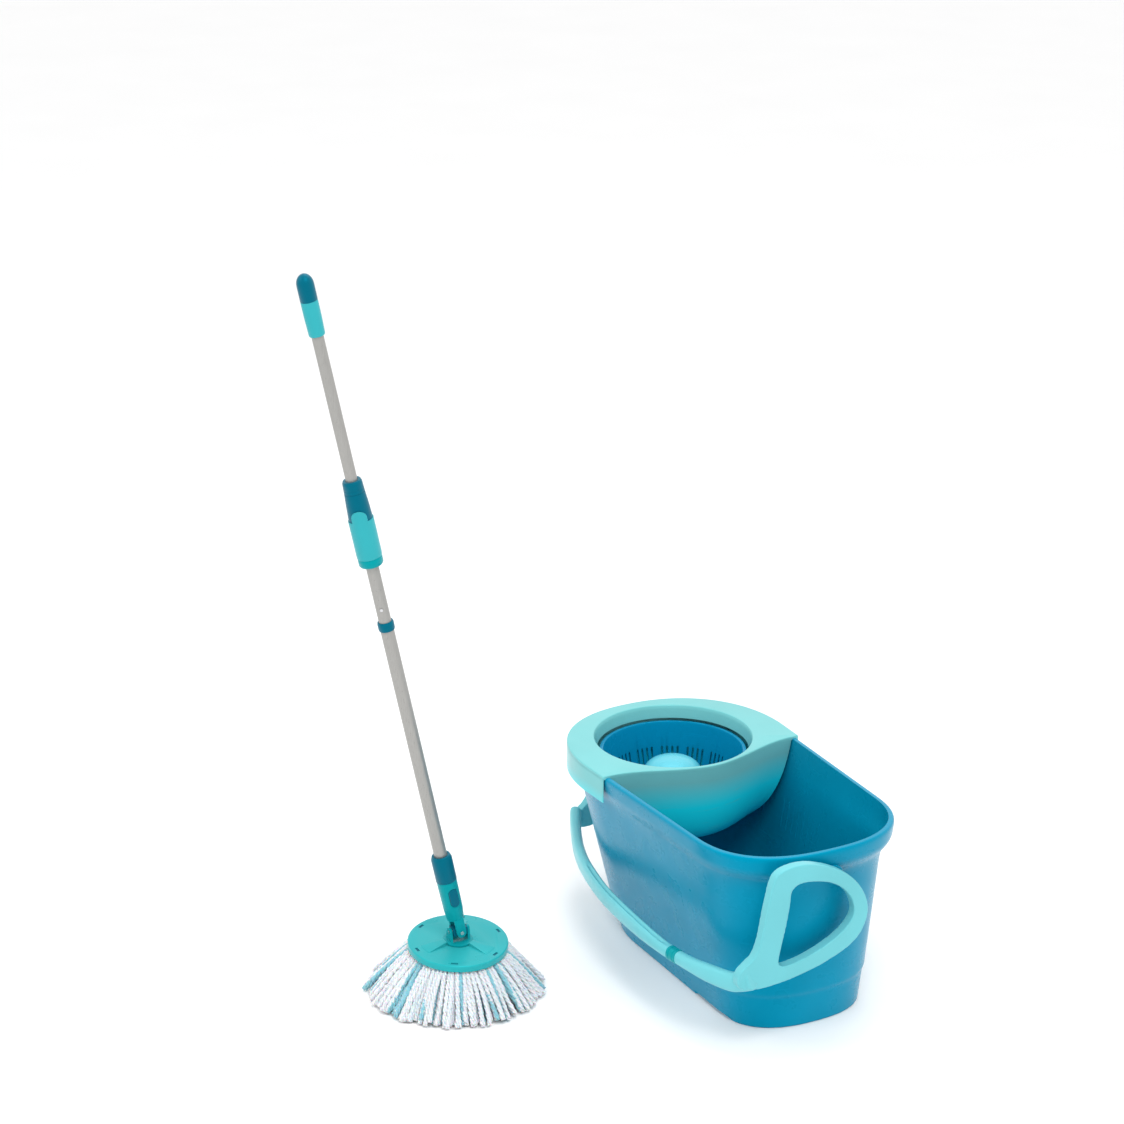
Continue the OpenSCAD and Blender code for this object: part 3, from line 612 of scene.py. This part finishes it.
# Outlines of the two D loops and of their openings: across, and up from the pivots' axis
FRONT_OUTLINE = [(-53, 35), (-79, 36), (-97, 30), (-104, 17), (-107, -2), (-110, -24), (-112, -47),
                 (-115, -70), (-121, -88), (-131, -97), (-141, -107), (-144, -119), (-140, -130), (-127, -136),
                 (-108, -139), (-81, -138), (-55, -134), (-28, -128), (-2, -119), (24, -106), (41, -88),
                 (48, -62), (43, -38), (29, -14), (8, 7), (-21, 24)]
FRONT_HOLE = [(-43, 7), (-63, 8), (-74, 0), (-75, -19), (-78, -52), (-82, -81), (-84, -103), (-80, -111),
              (-70, -113), (-47, -109), (-21, -100), (3, -87), (20, -71), (26, -54), (19, -32), (3, -13),
              (-18, 0)]
REAR_OUTLINE = [(-10, 19), (-28, 22), (-44, 16), (-52, 2), (-55, -20), (-57, -45), (-59, -70), (-62, -90),
                (-69, -103), (-80, -112), (-88, -122), (-88, -133), (-78, -138), (-60, -137), (-36, -131),
                (-10, -120), (14, -105), (32, -86), (40, -63), (37, -38), (25, -14), (8, 8)]
REAR_HOLE = [(-30, -6), (-38, -14), (-40, -40), (-43, -70), (-47, -95), (-44, -108), (-34, -112), (-10, -102),
             (8, -88), (19, -68), (20, -50), (12, -30), (-2, -16), (-16, -8)]
# Middle of the bar from the front loop to the rear one, with its half height as the fourth number
BAR_ROUTE = [(286, -124, 109, 13), (270, -132.5, 102, 13.5), (254, -139, 97.5, 13.5), (223, -152, 98, 12.5),
             (192, -159.5, 97.5, 10), (158, -165, 97.5, 9), (127, -169, 98.5, 9.5), (77.5, -171, 100, 11.5),
             (18, -168.5, 100, 12.5), (-42, -163.5, 100.5, 12.5), (-120, -148, 101, 12.5),
             (-174, -131, 102, 12.5), (-221, -111, 105, 12), (-250, -97, 110, 11.5), (-271, -86, 114, 11)]
BAR_T, BAR_SQUARENESS = 8, 0.8
BAR_STEPS, LOOP_STEPS = 10, 6
GROOVE_X, GROOVE_FADE, GROOVE_DEPTH = (-120, 148), 25, 3.0
GROOVE_FROM, GROOVE_TO = 74, 96  # degrees round the section, from its outer side over the top


def flowing(points, steps, closed):
    """Smooth curve through points, with so many short straight steps from one point to the next."""
    p = [np.array(q, float) for q in points]
    n = len(p)
    out = []
    for i in range(n if closed else n - 1):
        if closed:
            a, b, c, d = p[i - 1], p[i], p[(i + 1) % n], p[(i + 2) % n]
        else:
            b, c = p[i], p[i + 1]
            a = p[i - 1] if i else 2 * b - c
            d = p[i + 2] if i + 2 < n else 2 * c - b
        for k in range(steps):
            t = k / steps
            out.append(0.5 * (2 * b + (c - a) * t + (2 * a - 5 * b + 4 * c - d) * t * t
                              + (3 * b - a - 3 * c + d) * t ** 3))
    if not closed:
        out.append(p[-1])
    return out


def loop_point(x, side, p, depth):
    """A loop is a plate that leans with the end wall; depth is measured outwards from its inner face."""
    return (x + side * (LOOP_SLOPE * p[1] + depth), p[0], PIVOT_Z + p[1])


def as_mesh(obj):
    """The object's shape with its modifiers or its curve settings applied, as a new mesh."""
    return bpy.data.meshes.new_from_object(obj.evaluated_get(bpy.context.evaluated_depsgraph_get()))


def end_loop(name, x, side, outline, hole):
    """Vertices and faces of a flat plate with one hole, set up as the loop at one end of the bail."""
    curve = bpy.data.curves.new(name, "CURVE")
    curve.dimensions = "2D"
    curve.fill_mode = "BOTH"
    curve.extrude = LOOP_T / 2 * MM
    for points in (outline, hole):
        fine = flowing(points, LOOP_STEPS, True)
        spline = curve.splines.new("POLY")
        spline.points.add(len(fine) - 1)
        spline.use_cyclic_u = True
        for sp, q in zip(spline.points, fine):
            sp.co = (q[0] * MM, q[1] * MM, 0, 1)
    flat = bpy.data.objects.new(name, curve)
    scene.collection.objects.link(flat)
    mesh = as_mesh(flat)
    bpy.data.objects.remove(flat)
    verts = [loop_point(x, side, (v.co.x / MM, v.co.y / MM), LOOP_T / 2 + v.co.z / MM * side)
             for v in mesh.vertices]
    faces = [tuple(f.vertices) for f in mesh.polygons]
    bpy.data.meshes.remove(mesh)
    return verts, faces


def bar_section(route, i, grow, count):
    """Rounded section of the bar, square to the route, with a groove along the inner edge of its top."""
    run = (route[min(i + 1, len(route) - 1)] - route[max(i - 1, 0)])[:3]
    side = np.cross((0, 0, 1), run)
    side /= np.linalg.norm(side)
    up = np.cross(run, side) / np.linalg.norm(run)
    x, half_h = route[i][0], route[i][3]
    from_rear, from_front = (x - GROOVE_X[0]) / GROOVE_FADE, (GROOVE_X[1] - x) / GROOVE_FADE
    deep = GROOVE_DEPTH * min(1, max(0, from_rear), max(0, from_front))
    ring = []
    for k in range(count):
        a = TAU * k / count
        c, s = math.cos(a), math.sin(a)
        cut = deep if GROOVE_FROM <= math.degrees(a) <= GROOVE_TO else 0
        ring.append(route[i][:3]
                    + side * math.copysign(abs(c) ** BAR_SQUARENESS, c) * (BAR_T + grow - cut * 0.3)
                    + up * math.copysign(abs(s) ** BAR_SQUARENESS, s) * (half_h + grow - cut))
    return ring


route = flowing(BAR_ROUTE, BAR_STEPS, False)
bail = Build()
for name, x, side, outline, hole in (("front", FRONT_X, 1, FRONT_OUTLINE, FRONT_HOLE),
                                     ("rear", REAR_X, -1, REAR_OUTLINE, REAR_HOLE)):
    verts, faces = end_loop(name, x, side, outline, hole)
    start = len(bail.verts)
    bail.verts.extend(verts)
    bail.faces.extend(tuple(start + i for i in f) for f in faces)
bail.grid([bar_section(route, i, 0, 60) for i in range(len(route))], cap_low=True, cap_high=True)
bail_obj = piece("Bail", bail.verts, bail.faces, "bail_teal", "bail", ("bail_handle",))


def soften(obj, voxel, passes, slot):
    """Merges overlapping shells into one moulding with soft edges."""
    remesh = obj.modifiers.new("remesh", "REMESH")
    remesh.mode = "VOXEL"
    remesh.voxel_size = voxel * MM
    smooth = obj.modifiers.new("smooth", "SMOOTH")
    smooth.factor = 0.5
    smooth.iterations = passes
    mesh = as_mesh(obj)
    obj.modifiers.clear()
    obj.data = mesh
    obj.data.materials.clear()
    obj.data.materials.append(MATS[slot])
    obj.data.shade_smooth()


soften(bail_obj, 1.1, 6, "bail_teal")

# Darker band around the bar towards its front end, between two fine gaps
BAND_AT, BAND_HALF, BAND_STEPS = 158, 9.5, 6
BAND_PROUD, BAND_ENDS = 0.7, -0.5
GAP_AT, GAP_HALF, GAP_PROUD = 4.4, 0.7, 0.1
fine = flowing([p for p in route if abs(p[0] - BAND_AT) <= BAND_HALF + 3], BAND_STEPS, False)
fine = [p for p in fine if abs(p[0] - BAND_AT) <= BAND_HALF]
grow = [BAND_ENDS] + [BAND_PROUD] * (len(fine) - 2) + [BAND_ENDS]
for i in range(2, len(fine) - 2):
    if abs(abs(fine[i][0] - BAND_AT) - GAP_AT) < GAP_HALF:
        grow[i] = GAP_PROUD
band = Build().grid([bar_section(fine, i, grow[i], 40) for i in range(len(fine))], cap_low=True, cap_high=True)
piece("GripBand", band.verts, band.faces, "accent_teal", "bail", ("grip_insert",), 30)

# ---------------------------------------------------------------- mop head

CARDAN = Vector((-51, -381, 92))
PIN_UP, DISC_TILT = 16, math.radians(4.9)
ON_DISC = (Matrix.Translation(CARDAN) @ Matrix.Rotation(DISC_TILT, 4, "Y")
           @ Matrix.Translation((0, 0, -PIN_UP)))

refined("Disc", "disc_plate", 0.5)
refined("MopRing", "mop_ring", 0.3)
refined("Yoke", "yoke", 0.5)
refined("Cross", "cross_block", 0.6)

rng = random.Random(20)
STRAND_STEPS, PLY_SIDES, PLIES = 18, 7, 3
SWAY_TURN, WAVE, WAVE_TURNS = 0.03, 1.5, 5.2
CUT_END = 0.97  # share of the length past which a ply ends in a thinner tip


def strand_curve(angle, start_r, start_z, end_r, end_z, sway, droop):
    """Centre line of one strand from under the disc to the floor."""
    out = []
    top = ON_DISC @ Vector((start_r * math.cos(angle), start_r * math.sin(angle), start_z))
    turn = angle + sway * SWAY_TURN
    ux, uy = math.cos(angle), math.sin(angle)
    end = Vector((CARDAN.x + end_r * math.cos(turn), CARDAN.y + end_r * math.sin(turn), end_z))
    p1 = top + Vector((ux * 15, uy * 15, -2 - droop * 2))
    p2 = end + Vector((-ux * (10 + droop * 5), -uy * (10 + droop * 5), 13 + droop * 5))
    for k in range(STRAND_STEPS + 1):
        t = k / STRAND_STEPS
        p = (1 - t) ** 3 * top + 3 * t * (1 - t) ** 2 * p1 + 3 * t * t * (1 - t) * p2 + t ** 3 * end
        wave = math.sin(t * WAVE_TURNS + sway * 7) * WAVE * t
        out.append(p + Vector((-uy, ux, 0)) * wave)
    return out


def add_strand(build, line, ply_r, offset, phase, pitch):
    """Plies twisted about the line; they open out a little at the cut end."""
    lengths = [0.0]
    for a, b in zip(line, line[1:]):
        lengths.append(lengths[-1] + (b - a).length)
    frames = []
    for i, p in enumerate(line):
        run = (line[min(i + 1, len(line) - 1)] - line[max(i - 1, 0)]).normalized()
        side = run.cross(Vector((0, 0, 1))).normalized()
        frames.append((p, side, side.cross(run)))
    for ply in range(PLIES):
        rings = []
        for i, (p, side, up) in enumerate(frames):
            a = phase + TAU * (ply / PLIES + lengths[i] / pitch)
            t = i / (len(frames) - 1)
            spread = offset * (1 + 0.35 * max(0, t - 0.85) / 0.15)
            radius = ply_r * (0.9 + 0.12 * math.sin(phase * 5 + i * 2.3)) * (1 if t < CUT_END else 0.82)
            centre = p + side * math.cos(a) * spread + up * math.sin(a) * spread
            centre.z = max(centre.z, radius * 0.9 + 0.2)
            ring = []
            for k in range(PLY_SIDES):
                b = a + TAU * k / PLY_SIDES
                q = centre + side * math.cos(b) * radius + up * math.sin(b) * radius
                ring.append((q.x, q.y, max(q.z, 0.1)))
            rings.append(ring)
        build.grid(rings, cap_low=True, cap_high=True)


# The yarn lies further out on one side of the head
REACH_WAY = (-0.465, -0.885)
REACH, REACH_SWING, REACH_BULGE, REACH_SKEW = 119, 6.5, 5, 4
UNEVEN_CUT, LAYER_STEP = 11, 4
ON_FLOOR_Z, ON_FLOOR_SHARE = 3.6, 0.75
white, blue = Build(), Build()
# Layers from the top one down: strands, where they leave the disc (radius, height), droop, and shift in strands
LAYERS = ((78, 58, -11.5, 1.0, 0.0), (76, 56, -14.5, 1.4, 0.5), (64, 52, -17.5, 1.8, 0.2))
for layer, (count, start_r, start_z, droop, shift) in enumerate(LAYERS):
    for i in range(count):
        angle = TAU * (i + shift + rng.uniform(-0.28, 0.28)) / count
        along = math.cos(angle) * REACH_WAY[0] + math.sin(angle) * REACH_WAY[1]
        across = math.cos(angle) * REACH_WAY[1] - math.sin(angle) * REACH_WAY[0]
        reach = REACH + REACH_SWING * along + REACH_BULGE * along ** 2 + REACH_SKEW * across
        end_r = reach - rng.uniform(0, UNEVEN_CUT) - LAYER_STEP * layer
        sway = rng.uniform(-1, 1)
        end_z = ON_FLOOR_Z if rng.random() < ON_FLOOR_SHARE else rng.uniform(4, 9)
        line = strand_curve(angle, start_r, start_z, end_r, end_z, sway, droop * rng.uniform(0.6, 1.4))
        tinted = rng.random() < (0.19 if layer == 0 else 0.16)
        add_strand(blue if tinted else white, line, ply_r=rng.uniform(2.35, 2.65), offset=rng.uniform(1.2, 1.5),
                   phase=rng.uniform(0, TAU), pitch=rng.uniform(24, 32))
piece("FringeWhite", white.verts, white.faces, "yarn_white", "mop_head", ("fringe_white",), 80)
piece("FringeBlue", blue.verts, blue.faces, "yarn_blue", "mop_head", ("fringe_blue",), 80)

# ---------------------------------------------------------------- handle

for name, node, width in (
        ("Connector", "connector", 0.7), ("ReleaseButton", "connector_button", 0.8),
        ("LowerSleeve", "lower_sleeve", 0.7), ("LowerTube", "lower_tube", 0.15), ("TubeRing", "tube_ring", 0.5),
        ("MiddleTube", "middle_tube", 0.12), ("CouplingHousing", "coupling_housing", 0.6),
        ("LockSleeve", "lock_sleeve", 0.45), ("LockRing", "lock_ring", 0.8), ("UpperTube", "upper_tube", 0.12),
        ("GripSleeve", "grip_sleeve", 0.5), ("GripCap", "grip_cap", 0.4)):
    refined(name, node, width)

# ---------------------------------------------------------------- floor

FLOOR_HALF = 40
PAPER_DARK, PAPER_LIGHT = (0.9, 0.9, 0.9, 1), (0.93, 0.93, 0.93, 1)
corners = [(x * FLOOR_HALF, y * FLOOR_HALF, 0) for x, y in ((-1, -1), (1, -1), (1, 1), (-1, 1))]
floor_mesh = bpy.data.meshes.new("Floor")
floor_mesh.from_pydata(corners, [], [(0, 1, 2, 3)])
floor = bpy.data.objects.new("Floor", floor_mesh)
scene.collection.objects.link(floor)
paper = Shader("floor_paper")
paper.put(paper.bsdf.inputs["Base Color"], paper.mix(PAPER_DARK, PAPER_LIGHT, paper.noise(3, 2)))
paper.bsdf.inputs["Roughness"].default_value = 0.6
floor_mesh.materials.append(paper.mat)
